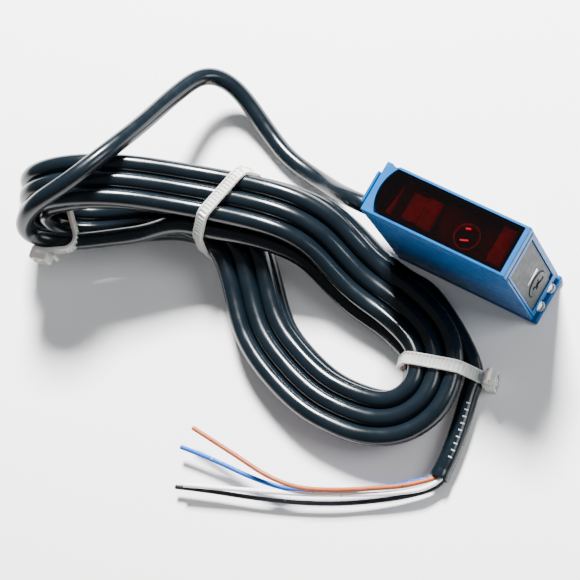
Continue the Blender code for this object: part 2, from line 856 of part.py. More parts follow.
clear_scene()
PARTS = new_collection("photoelectric_sensor")
CUTTERS = new_collection("cutters", hidden=True)
MATERIALS = {name: make_material(name) for name in COLOURS}
build_housing()
build_cable_end()
build_back_cover()
build_front()
build_control_panel()
build_knob()
build_indicators()
build_optics()
build_electronics()
build_gland()
build_cable()
build_coil()
build_ties()
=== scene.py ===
"""Looks of a slim photoelectric sensor with its coiled cable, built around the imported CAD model."""

import json
import math
from collections import namedtuple

import bmesh
import bpy
import numpy as np
from mathutils import Matrix, Vector


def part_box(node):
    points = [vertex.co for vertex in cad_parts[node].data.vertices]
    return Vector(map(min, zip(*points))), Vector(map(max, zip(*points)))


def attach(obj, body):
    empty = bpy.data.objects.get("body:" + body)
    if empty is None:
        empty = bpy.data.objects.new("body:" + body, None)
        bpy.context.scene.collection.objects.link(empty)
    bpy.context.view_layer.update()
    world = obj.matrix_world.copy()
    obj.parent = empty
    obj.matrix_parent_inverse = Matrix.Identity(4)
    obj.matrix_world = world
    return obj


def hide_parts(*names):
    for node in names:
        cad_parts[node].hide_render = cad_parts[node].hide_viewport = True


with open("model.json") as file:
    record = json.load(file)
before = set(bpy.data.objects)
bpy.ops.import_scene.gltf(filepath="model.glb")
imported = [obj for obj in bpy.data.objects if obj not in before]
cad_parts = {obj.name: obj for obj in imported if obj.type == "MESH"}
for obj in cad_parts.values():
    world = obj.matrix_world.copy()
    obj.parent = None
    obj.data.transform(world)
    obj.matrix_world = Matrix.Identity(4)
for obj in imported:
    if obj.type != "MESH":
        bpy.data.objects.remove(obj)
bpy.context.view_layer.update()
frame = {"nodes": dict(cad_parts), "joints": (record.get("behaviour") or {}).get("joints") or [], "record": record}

MM = 0.001
NODES = frame["nodes"]
SCENE = bpy.context.scene.collection

# Diameters in mm
CABLE = 5.4
CONDUCTOR = 1.4
CORE = 0.62

# The coil winds round its guide from the first to the last of these turns. The shift and the lift are
# shares of the cable's diameter. Both change sides at every turn, which puts the turns in two layers.
TURN_STEPS = 36
FIRST_TURN = 0.17
LAST_TURN = 6.44
FIRST_SHIFT = -1.7
SHIFT_PER_TURN = 0.5
LAYER_LIFT = 0.505
GUIDE_POINTS_PER_SPAN = 20
CABLE_POINTS_PER_SPAN = 6
CONDUCTOR_POINTS_PER_SPAN = 8

# The coil's guide is a closed loop. The cable runs from its root inside the strain relief along the lead and
# the fold into the coil, and leaves it by the tail. All places are in mm.
COIL_GUIDE = [
    (-126.5, -45.5, 18.5), (-123.0, -43.4, 27.4), (-114.0, -37.8, 30.8), (-101.0, -30.4, 28.4),
    (-88.0, -24.4, 23.4), (-75.0, -19.6, 19.8), (-62.0, -16.2, 18.6), (-50.0, -14.2, 16.6),
    (-39.0, -15.0, 12.2), (-28.0, -18.6, 8.2), (-17.4, -20.4, 6.2), (-7.0, -22.6, 6.4),
    (2.0, -26.6, 7.0), (8.2, -34.2, 7.5), (9.0, -43.6, 7.3), (3.8, -51.6, 6.6),
    (-5.4, -55.4, 5.8), (-17.0, -56.4, 5.6), (-27.0, -55.0, 5.6), (-37.0, -51.8, 5.6),
    (-47.0, -46.6, 5.6), (-56.4, -38.0, 6.0), (-64.4, -30.4, 7.4), (-74.0, -26.0, 7.6),
    (-86.0, -26.0, 7.0), (-99.0, -31.0, 5.7), (-112.0, -38.4, 5.6), (-122.0, -43.8, 9.8),
]
CABLE_ROOT = (-31.5, 0.0, 12.0)
LEAD_ROUTE = [
    (-34.0, 0.0, 12.0), (-40.0, 0.0, 11.6), (-47.5, 0.8, 8.2), (-55.0, 2.2, 4.4),
    (-62.5, 3.4, 2.8), (-70.0, 5.0, 2.8), (-77.5, 8.0, 3.2), (-85.5, 12.0, 5.0),
    (-93.5, 15.6, 8.0), (-100.0, 16.2, 11.4), (-104.0, 13.0, 14.8), (-105.2, 6.4, 18.8),
    (-105.2, -1.0, 23.2), (-104.6, -9.0, 28.4), (-104.4, -17.0, 33.6), (-105.0, -25.0, 38.0),
    (-107.0, -33.0, 40.4), (-111.0, -41.0, 40.6),
]
LEAD_FOLD = [
    (-116.6, -47.8, 37.4), (-121.0, -52.8, 30.6), (-121.4, -54.6, 23.6), (-116.4, -52.6, 18.2),
    (-108.6, -48.0, 15.8), (-100.0, -42.8, 16.0), (-91.5, -37.2, 16.4),
]
TAIL_ROUTE = [
    (13.2, -25.6, 3.7), (17.6, -33.4, 3.2), (19.6, -42.0, 3.0), (21.4, -51.6, 2.9),
    (21.8, -56.5, 2.8), (22.0, -59.0, 2.8),
]
CONDUCTOR_ROUTES = {
    "brown": [
        (21.3, -59.6, 3.8), (20.5, -61.2, 4.2), (18.0, -63.7, 4.7), (14.0, -67.0, 5.1),
        (8.0, -70.9, 5.5), (0.5, -75.4, 5.8), (-6.5, -79.0, 6.0), (-12.1, -81.2, 6.2),
        (-17.7, -82.3, 6.3), (-23.9, -82.6, 6.4), (-30.3, -82.2, 6.4), (-36.6, -81.8, 6.4),
        (-43.2, -81.4, 6.3), (-50.1, -81.0, 6.2),
    ],
    "blue": [
        (21.2, -59.6, 2.0), (20.0, -60.9, 2.2), (16.9, -63.0, 2.5), (13.0, -66.5, 2.6),
        (7.0, -70.7, 2.7), (-0.5, -75.3, 2.8), (-7.6, -79.1, 2.9), (-13.5, -81.9, 3.0),
        (-18.4, -83.6, 3.2), (-24.1, -84.7, 3.5), (-30.0, -85.4, 3.8), (-37.2, -85.9, 4.0),
        (-44.5, -86.6, 4.1), (-51.3, -87.5, 4.1),
    ],
    "white": [
        (22.8, -59.6, 3.7), (22.2, -61.3, 3.8), (19.9, -64.5, 4.0), (15.8, -67.7, 4.2),
        (9.2, -71.9, 4.4), (0.8, -76.5, 4.6), (-7.9, -81.0, 4.7), (-15.6, -84.5, 4.7),
        (-23.4, -87.9, 4.7), (-30.8, -91.1, 4.7), (-37.9, -94.1, 4.7), (-44.0, -96.7, 4.7),
    ],
    "black": [
        (23.0, -59.6, 1.9), (22.6, -61.4, 1.9), (20.6, -64.3, 2.0), (17.3, -67.4, 2.1),
        (12.8, -71.0, 2.3), (6.3, -75.5, 2.5), (-1.2, -80.0, 2.7), (-9.2, -84.0, 2.8),
        (-16.7, -87.2, 2.9), (-24.7, -90.3, 3.0), (-33.0, -93.2, 3.0), (-39.9, -95.7, 3.0),
        (-46.7, -98.3, 3.0),
    ],
}

# The printed marks on the jacket: how many, their pitch and length in mm, how far before the cut end they
# begin, and where they lie round the cable, in degrees from its top.
MARK_COUNT = 9
MARK_PITCH = 2.0
MARK_LENGTH = 0.35
MARKS_BEFORE_END = 22.0
MARK_ANGLE = -24
MARK_HALF_ANGLE = 12

# Cable ties: place in mm, heading of the across direction, heading of the second direction or None for
# straight up, middle of the bundle in that plane, how far a strand may be from it, where the head sits as an
# angle in the plane, and the length of the cut tail in mm.
Tie = namedtuple("Tie", "place heading second_heading middle reach head_angle tail")
Plane = namedtuple("Plane", "place across upward through")
TIES = {
    "middle": Tie((-72.5, -22.0, 0.0), 80, None, (-1.0, 14.0), 24.0, -24, 3.0),
    "right": Tie((7.0, -32.6, 0.0), 16, None, (-1.0, 7.5), 17.0, -14, 6.5),
    "left": Tie((-126.5, -45.5, 18.5), -59, 31, (0.0, 0.0), 17.0, -4, 3.0),
}
STRAP_WIDTH = 3.6
STRAP_THICKNESS = 1.0
STRAP_GAP = 0.12
STRAP_ABOVE_FLOOR = 0.05
RIB_PITCH = 1.15
POINTS_PER_RIB = 4


# ---------------------------------------------------------------- materials


def principled(name, colour, roughness, **sockets):
    """A material with its constant values on the shader. An underscore in a socket's name is a space."""
    material = bpy.data.materials.new(name)
    material.use_nodes = True
    shader = material.node_tree.nodes["Principled BSDF"]
    shader.inputs["Base Color"].default_value = (*colour, 1.0)
    shader.inputs["Roughness"].default_value = roughness
    for socket, value in sockets.items():
        shader.inputs[socket.replace("_", " ")].default_value = value
    return material


def noise(material, scale, detail=3.0):
    """A noise value in the object's own coordinates. The scale is in waves per metre."""
    nodes = material.node_tree.nodes
    links = material.node_tree.links
    coordinates = nodes.new("ShaderNodeTexCoord")
    texture = nodes.new("ShaderNodeTexNoise")
    texture.inputs["Scale"].default_value = scale
    texture.inputs["Detail"].default_value = detail
    links.new(coordinates.outputs["Object"], texture.inputs["Vector"])
    return texture.outputs["Fac"]


def mottle(material, first, second, scale, low=0.35, high=0.65):
    """Base colour that drifts between two colours."""
    ramp = material.node_tree.nodes.new("ShaderNodeValToRGB")
    ramp.color_ramp.elements[0].position = low
    ramp.color_ramp.elements[0].color = (*first, 1.0)
    ramp.color_ramp.elements[1].position = high
    ramp.color_ramp.elements[1].color = (*second, 1.0)
    links = material.node_tree.links
    links.new(noise(material, scale), ramp.inputs["Fac"])
    shader = material.node_tree.nodes["Principled BSDF"]
    links.new(ramp.outputs["Color"], shader.inputs["Base Color"])
    return material


def vary_roughness(material, low, high, scale):
    """Roughness that drifts between two values, as handling and moulding leave it."""
    spread = material.node_tree.nodes.new("ShaderNodeMapRange")
    spread.inputs["From Min"].default_value = 0.3
    spread.inputs["From Max"].default_value = 0.7
    spread.inputs["To Min"].default_value = low
    spread.inputs["To Max"].default_value = high
    links = material.node_tree.links
    links.new(noise(material, scale), spread.inputs["Value"])
    shader = material.node_tree.nodes["Principled BSDF"]
    links.new(spread.outputs["Result"], shader.inputs["Roughness"])
    return material


def grain(material, scale, depth, strength=0.6):
    """Fine relief of the surface. The depth is in mm."""
    bump = material.node_tree.nodes.new("ShaderNodeBump")
    bump.inputs["Strength"].default_value = strength
    bump.inputs["Distance"].default_value = depth * MM
    links = material.node_tree.links
    links.new(noise(material, scale, 5.0), bump.inputs["Height"])
    shader = material.node_tree.nodes["Principled BSDF"]
    links.new(bump.outputs["Normal"], shader.inputs["Normal"])
    return material


def housing_blue():
    material = principled("housing_blue", (0.0, 0.074, 0.24), 0.32, Specular_IOR_Level=0.12)
    mottle(material, (0.0, 0.068, 0.225), (0.0, 0.080, 0.255), 160)
    vary_roughness(material, 0.28, 0.42, 420)
    return grain(material, 5200, 0.03)


def window_red():
    material = principled(
        "window_red", (0.24, 0.01, 0.04), 0.03, Transmission_Weight=1.0, IOR=1.49, Specular_IOR_Level=0.3
    )
    mottle(material, (0.20, 0.007, 0.03), (0.26, 0.010, 0.04), 90)
    vary_roughness(material, 0.015, 0.05, 300)
    return material


def panel_grey():
    material = principled("panel_grey", (0.025, 0.030, 0.033), 0.5, Specular_IOR_Level=0.15)
    mottle(material, (0.021, 0.025, 0.028), (0.029, 0.035, 0.038), 900)
    vary_roughness(material, 0.42, 0.58, 500)
    return grain(material, 9000, 0.012)


def black_plastic():
    material = principled("black_plastic", (0.012, 0.013, 0.015), 0.5)
    mottle(material, (0.010, 0.011, 0.013), (0.018, 0.018, 0.021), 500)
    return grain(material, 6000, 0.02)


def black_rubber():
    material = principled("black_rubber", (0.012, 0.015, 0.018), 0.5)
    mottle(material, (0.010, 0.012, 0.015), (0.018, 0.021, 0.025), 300)
    vary_roughness(material, 0.42, 0.6, 700)
    return grain(material, 4200, 0.02)


def clear_plastic():
    material = principled("clear_plastic", (0.97, 0.98, 1.0), 0.03, Transmission_Weight=1.0, IOR=1.49)
    mottle(material, (0.95, 0.97, 1.0), (1.0, 1.0, 1.0), 400)
    vary_roughness(material, 0.01, 0.04, 600)
    return material


def lamp_white():
    material = principled(
        "lamp_white", (0.9, 0.9, 0.88), 0.35, Emission_Color=(1.0, 1.0, 1.0, 1.0), Emission_Strength=0.25
    )
    mottle(material, (0.86, 0.86, 0.84), (0.94, 0.94, 0.93), 900)
    return material


def red_optics(name, painted_glow):
    # The emission is painted light. At a low strength it brightens the red parts behind the dark pane, and at a
    # high strength it paints glints.
    material = principled(
        name, (0.34, 0.015, 0.08), 0.2, Emission_Color=(0.9, 0.02, 0.16, 1.0), Emission_Strength=painted_glow
    )
    mottle(material, (0.29, 0.012, 0.065), (0.39, 0.018, 0.095), 260)
    vary_roughness(material, 0.12, 0.3, 500)
    return grain(material, 2400, 0.02)


def dark_lens():
    material = principled("lens_glass", (0.03, 0.002, 0.005), 0.06, Coat_Weight=0.6)
    mottle(material, (0.02, 0.001, 0.003), (0.05, 0.003, 0.008), 220)
    return material


def circuit_board():
    material = principled("circuit_board", (0.01, 0.12, 0.05), 0.45)
    mottle(material, (0.008, 0.09, 0.04), (0.012, 0.15, 0.06), 500)
    return grain(material, 3000, 0.02)


def bright_metal(name, colour, other):
    material = principled(name, colour, 0.3, Metallic=1.0)
    mottle(material, colour, other, 600)
    vary_roughness(material, 0.22, 0.4, 900)
    return grain(material, 5000, 0.01)


def cable_jacket():
    material = principled("cable_jacket", (0.003, 0.006, 0.009), 0.2, Specular_IOR_Level=0.36)
    mottle(material, (0.0022, 0.005, 0.0078), (0.0038, 0.0075, 0.0115), 70)
    vary_roughness(material, 0.16, 0.26, 240)
    return grain(material, 1500, 0.02, 0.35)


def cable_tie_nylon():
    material = principled(
        "cable_tie_nylon", (0.88, 0.88, 0.85), 0.32, Subsurface_Weight=0.3, Subsurface_Scale=0.0015,
        Transmission_Weight=0.5, IOR=1.5,
    )
    mottle(material, (0.84, 0.84, 0.80), (0.93, 0.93, 0.91), 320)
    vary_roughness(material, 0.3, 0.45, 500)
    return grain(material, 2600, 0.03)


def insulation(colour, tone, other, speck):
    """Conductor insulation with the small nicks of a stripping tool."""
    material = principled(f"wire_{colour}", tone, 0.38, Specular_IOR_Level=0.25)
    mottle(material, tone, other, 420)
    nodes = material.node_tree.nodes
    links = material.node_tree.links
    shader = nodes["Principled BSDF"]
    base = shader.inputs["Base Color"].links[0].from_socket
    spots = nodes.new("ShaderNodeMapRange")
    spots.inputs["From Min"].default_value = 0.70
    spots.inputs["From Max"].default_value = 0.74
    links.new(noise(material, 520, 1.0), spots.inputs["Value"])
    mix = nodes.new("ShaderNodeMix")
    mix.data_type = "RGBA"
    links.new(spots.outputs["Result"], mix.inputs["Factor"])
    links.new(base, mix.inputs["A"])
    mix.inputs["B"].default_value = (*speck, 1.0)
    links.new(mix.outputs["Result"], shader.inputs["Base Color"])
    vary_roughness(material, 0.3, 0.46, 700)
    return grain(material, 1800, 0.03)


def floor_white():
    material = principled(
        "floor_white", (0.9, 0.9, 0.9), 0.6, Specular_IOR_Level=0.2, Emission_Color=(0.97, 0.98, 1.0, 1.0),
        Emission_Strength=0.06,
    )
    mottle(material, (0.895, 0.9, 0.905), (0.91, 0.915, 0.92), 3)
    return material


MATERIALS = {
    "housing_blue": housing_blue(),
    "window_red": window_red(),
    "panel_grey": panel_grey(),
    "black_plastic": black_plastic(),
    "black_rubber": black_rubber(),
    "clear_lens": clear_plastic(),
    # Red parts behind the pane, with a faint painted glow.
    "red_optics": red_optics("red_optics", 0.08),
    "lens_glass": dark_lens(),
    # Painted glint colour: a strong red glow that stands in for a lamp's reflection on the lens.
    "painted_glow": red_optics("painted_glow", 5.0),
    "lamp_white": lamp_white(),
    "circuit_board": circuit_board(),
    "steel": bright_metal("steel", (0.55, 0.56, 0.58), (0.62, 0.63, 0.65)),
    "brass": bright_metal("brass", (0.60, 0.43, 0.19), (0.68, 0.50, 0.24)),
    "copper": bright_metal("copper", (0.72, 0.36, 0.20), (0.80, 0.44, 0.27)),
    "cable_jacket": cable_jacket(),
    "cable_tie": cable_tie_nylon(),
    "wire_brown": insulation("brown", (0.30, 0.07, 0.02), (0.36, 0.09, 0.03), (0.10, 0.04, 0.03)),
    "wire_blue": insulation("blue", (0.0, 0.07, 0.36), (0.0, 0.08, 0.42), (0.05, 0.26, 0.6)),
    "wire_white": insulation("white", (0.92, 0.90, 0.90), (0.96, 0.95, 0.95), (0.45, 0.40, 0.40)),
    "wire_black": insulation("black", (0.008, 0.009, 0.012), (0.014, 0.014, 0.018), (0.12, 0.12, 0.13)),
    "print_grey": mottle(
        principled("print_grey", (0.30, 0.36, 0.40), 0.5), (0.24, 0.29, 0.32), (0.36, 0.42, 0.46), 900
    ),
    "symbol_white": mottle(
        principled("symbol_white", (0.85, 0.86, 0.87), 0.5), (0.8, 0.81, 0.82), (0.9, 0.9, 0.9), 900
    ),
}


# ---------------------------------------------------------------- shapes


def add_piece(name, data, material, body="sensor"):
    """A new piece that rides on a CAD body."""
    obj = bpy.data.objects.new(name, data)
    obj.data.materials.append(MATERIALS[material])
    SCENE.objects.link(obj)
    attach(obj, body)
    return obj


def mesh_of(shape, name, smooth=True, sharp_from=40):
    """The finished mesh of a bmesh, with its faces all turned to the same side."""
    bmesh.ops.recalc_face_normals(shape, faces=shape.faces)
    mesh = bpy.data.meshes.new(name)
    shape.to_mesh(mesh)
    shape.free()
    if smooth:
        mesh.shade_smooth()
        mesh.set_sharp_from_angle(angle=math.radians(sharp_from))
    return mesh


def axis_matrix(origin, axis):
    """Places a shape's Z along an axis."""
    return Matrix.Translation(origin) @ Vector(axis).to_track_quat("Z", "Y").to_matrix().to_4x4()


def turned_shape(profile, place, steps=64):
    """A solid of revolution. Its (radius, height) pairs begin and end on the axis, or form a closed loop."""
    shape = bmesh.new()
    closed = profile[0] == profile[-1]
    rows = profile[:-1] if closed else profile
    rings = []
    for radius, height in rows:
        if radius < 1e-7:
            rings.append([shape.verts.new((0, 0, height))])
            continue
        angles = [math.tau * i / steps for i in range(steps)]
        rings.append([shape.verts.new((radius * math.cos(a), radius * math.sin(a), height)) for a in angles])
    if closed:
        rings.append(rings[0])
    for ring, following in zip(rings, rings[1:]):
        for i in range(steps):
            j = (i + 1) % steps
            corners = [ring[i % len(ring)], ring[j % len(ring)]]
            corners += [following[j % len(following)], following[i % len(following)]]
            unique = list(dict.fromkeys(corners))
            if len(unique) > 2:
                shape.faces.new(unique)
    shape.transform(place)
    return shape


def box_shape(low, high):
    """A box between two opposite corners."""
    shape = bmesh.new()
    bmesh.ops.create_cube(shape, size=1.0)
    size = Vector(high) - Vector(low)
    bmesh.ops.scale(shape, vec=size, verts=shape.verts)
    bmesh.ops.translate(shape, vec=(Vector(high) + Vector(low)) / 2, verts=shape.verts)
    return shape


def prism_shape(outline, thickness, place, bevel=0.0):
    """A flat outline in its own XY plane, thickened along Z and placed by a matrix."""
    shape = bmesh.new()
    face = shape.faces.new([shape.verts.new((x, y, 0)) for x, y in outline])
    made = bmesh.ops.extrude_face_region(shape, geom=[face])
    moved = [item for item in made["geom"] if isinstance(item, bmesh.types.BMVert)]
    bmesh.ops.translate(shape, vec=(0, 0, thickness), verts=moved)
    if bevel:
        bmesh.ops.bevel(shape, geom=shape.edges[:], offset=bevel, segments=2, affect="EDGES")
    shape.transform(place)
    return shape


def smooth_curve(points, per_span, closed=False):
    """A smooth curve through the points, as an array with per_span points to a span."""
    knots = np.array(points, float)
    count = len(knots)
    system = 4 * np.eye(count) + np.eye(count, k=1) + np.eye(count, k=-1)
    if closed:
        system[0, -1] = 1
        system[-1, 0] = 1
        rise = 3 * (np.roll(knots, -1, 0) - np.roll(knots, 1, 0))
    else:
        system[0, 0] = 2
        system[-1, -1] = 2
        rise = 3 * np.vstack([knots[1:2] - knots[:1], knots[2:] - knots[:-2], knots[-1:] - knots[-2:-1]])
    slopes = np.linalg.solve(system, rise)
    if closed:
        knots = np.vstack([knots, knots[:1]])
        slopes = np.vstack([slopes, slopes[:1]])
    s = np.linspace(0, 1, per_span, endpoint=False)[:, None]
    spans = [
        (2 * s**3 - 3 * s**2 + 1) * a
        + (s**3 - 2 * s**2 + s) * slope_a
        + (3 * s**2 - 2 * s**3) * b
        + (s**3 - s**2) * slope_b
        for a, b, slope_a, slope_b in zip(knots, knots[1:], slopes, slopes[1:])
    ]
    if not closed:
        spans.append(knots[-1:])
    return np.vstack(spans)


def tube(name, points, diameter, material, sides=5):
    """A round tube along points in mm, as one open spline."""
    curve = bpy.data.curves.new(name, "CURVE")
    curve.dimensions = "3D"
    curve.bevel_depth = diameter / 2 * MM
    curve.bevel_resolution = sides
    curve.use_fill_caps = True
    spline = curve.splines.new("POLY")
    spline.points.add(len(points) - 1)
    spline.use_smooth = True
    for point, place in zip(spline.points, points):
        point.co = (*(place * MM), 1.0)
    return add_piece(name, curve, material)


def length_of(points):
    """The length of a line of points."""
    return float(np.linalg.norm(np.diff(points, axis=0), axis=1).sum())


# ---------------------------------------------------------------- camera, light and floor


def add_camera():
    """The camera looks down at the coil from beyond the control end, rolled about its own line of sight."""
    place = Vector((202.6, -108.4, 535.6)) * MM
    target = Vector((-48.5, -30.8, 0.0)) * MM
    roll = math.radians(44.1)
    forward = (target - place).normalized()
    level = forward.cross(Vector((0, 0, 1))).normalized()
    above = level.cross(forward)
    up = above * math.cos(roll) + level * math.sin(roll)
    right = forward.cross(up)
    data = bpy.data.cameras.new("camera")
    data.sensor_width = 36.0
    data.lens = 124.14
    data.clip_start = 0.01
    camera = bpy.data.objects.new("camera", data)
    SCENE.objects.link(camera)
    turn = Matrix((right, up, -forward)).transposed().to_4x4()
    camera.matrix_world = Matrix.Translation(place) @ turn
    bpy.context.scene.camera = camera


def add_area_light(name, heading, elevation, distance, size, power, colour):
    """A square soft box that looks at the object's middle, from a heading and an elevation in degrees."""
    turn = math.radians(heading)
    rise = math.radians(elevation)
    away = Vector((math.cos(turn) * math.cos(rise), math.sin(turn) * math.cos(rise), math.sin(rise)))
    target = Vector((-45.0, -30.0, 0.0)) * MM
    data = bpy.data.lights.new(name, "AREA")
    data.size = size
    data.energy = power
    data.color = colour
    light = bpy.data.objects.new(name, data)
    light.location = target + away * distance
    light.rotation_euler = away.to_track_quat("Z", "Y").to_euler()
    SCENE.objects.link(light)


def add_studio():
    """A small bright key light, a weak wide one from the side, an even dim sky and a white floor."""
    add_area_light("key_light", 115, 47, 0.85, 0.17, 52.0, (1.0, 0.99, 0.97))
    add_area_light("side_light", 28, 40, 1.0, 0.4, 4.5, (0.97, 0.99, 1.0))
    world = bpy.data.worlds.new("studio")
    world.use_nodes = True
    background = world.node_tree.nodes["Background"]
    background.inputs["Color"].default_value = (0.96, 0.98, 1.0, 1.0)
    background.inputs["Strength"].default_value = 0.19
    bpy.context.scene.world = world
    half = 3.0
    thickness = 1 * MM
    underside = -1.05 * MM
    outline = [(-half, -half), (half, -half), (half, half), (-half, half)]
    shape = prism_shape(outline, thickness, Matrix.Translation((0, 0, underside)))
    floor = bpy.data.objects.new("floor", mesh_of(shape, "floor", smooth=False))
    floor.data.materials.append(floor_white())
    SCENE.objects.link(floor)


# ---------------------------------------------------------------- cable


def coil_turns():
    """The middle line of the coil's turns, which alternate between two layers and drift sideways."""
    guide = smooth_curve(COIL_GUIDE, GUIDE_POINTS_PER_SPAN, closed=True)
    steps = np.linalg.norm(np.roll(guide, -1, 0) - guide, axis=1)
    share = np.concatenate([[0], np.cumsum(steps)])[:-1] / steps.sum()
    along = np.roll(guide, -1, 0) - np.roll(guide, 1, 0)
    along /= np.linalg.norm(along, axis=1)[:, None]
    level_share = 0.75
    steady = np.hypot(along[:, 0], along[:, 1]) > level_share
    headings = np.unwrap(np.arctan2(along[steady, 1], along[steady, 0]))
    heading = np.interp(share, share[steady], headings)
    side = np.stack([-np.sin(heading), np.cos(heading), 0 * heading], 1)
    up = np.cross(along, side)
    up /= np.linalg.norm(up, axis=1)[:, None]
    points = []
    for turn in np.arange(FIRST_TURN, LAST_TURN, 1 / TURN_STEPS):
        part = turn % 1
        centre = np.array([np.interp(part, share, guide[:, axis], period=1) for axis in range(3)])
        nearest = min(int(np.searchsorted(share, part)), len(share) - 1)
        sign = 1 if int(turn) % 2 == 0 else -1
        shift = (FIRST_SHIFT + SHIFT_PER_TURN * turn) * CABLE
        lift = LAYER_LIFT * CABLE
        points.append(centre + sign * (shift * side[nearest] - lift * up[nearest]))
    return np.array(points)


def cable_line():
    """The cable's middle line from its root to its cut end, nowhere lower than on the floor."""
    route = np.vstack([[CABLE_ROOT], LEAD_ROUTE, LEAD_FOLD, coil_turns(), TAIL_ROUTE])
    line = smooth_curve(route, CABLE_POINTS_PER_SPAN)
    line[:, 2] = np.maximum(line[:, 2], CABLE / 2)
    return line


def add_cable(line):
    """The whole cable as one tube, which takes the place of the CAD cable's lead, coil and tail."""
    cable = tube("cable", line, CABLE, "cable_jacket", 6)
    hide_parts("cable_lead", "cable_coil", "cable_tail")


def add_jacket_end(line):
    """The cut end of the jacket: a short open sleeve with a slightly flared lip."""
    end = Vector(line[-1]) * MM
    out = Vector(line[-1] - line[-3]).normalized()
    radius = CABLE / 2
    profile = [
        (radius - 0.1, -2.4),
        (radius + 0.04, -1.6),
        (radius + 0.12, 0.4),
        (radius + 0.05, 0.75),
        (radius - 0.25, 0.7),
        (radius - 0.55, 0.45),
        (radius - 0.6, -0.4),
        (radius - 0.1, -2.4),
    ]
    profile = [(r * MM, h * MM) for r, h in profile]
    shape = turned_shape(profile, axis_matrix(end, out), 40)
    return add_piece("jacket_end", mesh_of(shape, "jacket_end", sharp_from=60), "cable_jacket")


def add_jacket_marks(line):
    """A row of plain length marks printed on the jacket near its cut end."""
    shape = bmesh.new()
    steps = np.concatenate([[0], np.cumsum(np.linalg.norm(np.diff(line, axis=0), axis=1))])
    total = steps[-1]
    above_jacket = 0.02
    radius = CABLE / 2 + above_jacket
    half_angle = math.radians(MARK_HALF_ANGLE)
    middle_angle = math.radians(MARK_ANGLE)
    columns = 4
    for mark in range(MARK_COUNT):
        start = total - MARKS_BEFORE_END + MARK_PITCH * mark
        rows = []
        for share in (0.0, 0.5, 1.0):
            s = start + MARK_LENGTH * share
            centre = np.array([np.interp(s, steps, line[:, axis]) for axis in range(3)])
            ahead = np.array([np.interp(s + 0.5, steps, line[:, axis]) for axis in range(3)])
            out = ahead - centre
            out /= np.linalg.norm(out)
            side = np.cross(out, (0, 0, 1))
            side /= np.linalg.norm(side)
            above = np.cross(side, out)
            row = []
            for angle in np.linspace(middle_angle - half_angle, middle_angle + half_angle, columns):
                point = centre + radius * (math.sin(angle) * side + math.cos(angle) * above)
                row.append(shape.verts.new(point * MM))
            rows.append(row)
        for first, second in zip(rows, rows[1:]):
            for i in range(columns - 1):
                shape.faces.new((first[i], first[i + 1], second[i + 1], second[i]))
    return add_piece("jacket_marks", mesh_of(shape, "jacket_marks"), "print_grey")


def add_conductors():
    """The four conductors, each with its bare core showing at the cut end."""
    root_inside = (0.0, 0.9, 0.0)
    core_inside = 0.5
    core_outside = 0.35
    for colour, route in CONDUCTOR_ROUTES.items():
        root = np.array(route[0]) + root_inside
        line = smooth_curve(np.vstack([[root], route]), CONDUCTOR_POINTS_PER_SPAN)
        wire = tube(f"wire_{colour}", line, CONDUCTOR, f"wire_{colour}", 4)
        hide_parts(f"conductor_{colour}")
        out = line[-1] - line[-2]
        out /= np.linalg.norm(out)
        core_line = np.array([line[-1] - core_inside * out, line[-1], line[-1] + core_outside * out])
        core = tube(f"core_{colour}", core_line, CORE, "copper", 3)


# ---------------------------------------------------------------- cable ties


def convex_hull(points):
    """The convex outline of 2D points, anticlockwise."""
    order = points[np.lexsort((points[:, 1], points[:, 0]))]

    def chain(items):
        kept = []
        for item in items:
            while len(kept) > 1:
                first = kept[-1] - kept[-2]
                second = item - kept[-2]
                if first[0] * second[1] - first[1] * second[0] > 0:
                    break
                kept.pop()
            kept.append(item)
        return kept

    return np.array(chain(order)[:-1] + chain(order[::-1])[:-1])


def even_loop(outline, count):
    """Points evenly spaced round a closed outline, with its corners eased."""
    closed = np.vstack([outline, outline[:1]])
    steps = np.concatenate([[0], np.cumsum(np.linalg.norm(np.diff(closed, axis=0), axis=1))])
    places = np.linspace(0, steps[-1], count, endpoint=False)
    loop = np.stack([np.interp(places, steps, closed[:, axis]) for axis in range(2)], 1)
    for _ in range(6):
        loop = (np.roll(loop, 1, 0) + 2 * loop + np.roll(loop, -1, 0)) / 4
    return loop


def strap_section(ribbed):
    """The strap's outline in width and thickness, with a rib or the gap after it between the rails."""
    half = STRAP_WIDTH / 2
    rail = 0.45
    edge = 0.12
    slope = 0.06
    rib = STRAP_THICKNESS - (0.08 if ribbed else 0.42)
    return [
        (-half, edge), (-half + edge, 0.0), (half - edge, 0.0), (half, edge),
        (half, STRAP_THICKNESS - edge), (half - edge, STRAP_THICKNESS),
        (half - rail, STRAP_THICKNESS), (half - rail - slope, rib),
        (-half + rail + slope, rib), (-half + rail, STRAP_THICKNESS),
        (-half + edge, STRAP_THICKNESS), (-half, STRAP_THICKNESS - edge),
    ]


def strap_mesh(name, inner, outward, through, closed):
    """A ribbed strap along 3D points in mm of its inner face."""
    shape = bmesh.new()
    rings = []
    for i, (point, out) in enumerate(zip(inner, outward)):
        section = strap_section(i % POINTS_PER_RIB < POINTS_PER_RIB / 2)
        rings.append([shape.verts.new((point + through * a + out * b) * MM) for a, b in section])
    pairs = list(zip(rings, rings[1:]))
    if closed:
        pairs.append((rings[-1], rings[0]))
    else:
        shape.faces.new(rings[0])
        shape.faces.new(rings[-1])
    for ring, following in pairs:
        for i in range(len(ring)):
            j = (i + 1) % len(ring)
            shape.faces.new((ring[i], ring[j], following[j], following[i]))
    return mesh_of(shape, name, sharp_from=30)


def tie_plane(tie):
    """The plane that a tie's loop lies in: its place, its two directions, and the one along the strands."""
    heading = math.radians(tie.heading)
    across = np.array([math.cos(heading), math.sin(heading), 0])
    if tie.second_heading is None:
        upward = np.array([0.0, 0.0, 1.0])
    else:
        second = math.radians(tie.second_heading)
        upward = np.array([math.cos(second), math.sin(second), 0])
    return Plane(np.array(tie.place), across, upward, np.cross(across, upward))


def in_space(flat, plane):
    """Offsets or directions in a tie's plane, as 3D ones."""
    return flat[..., :1] * plane.across + flat[..., 1:] * plane.upward


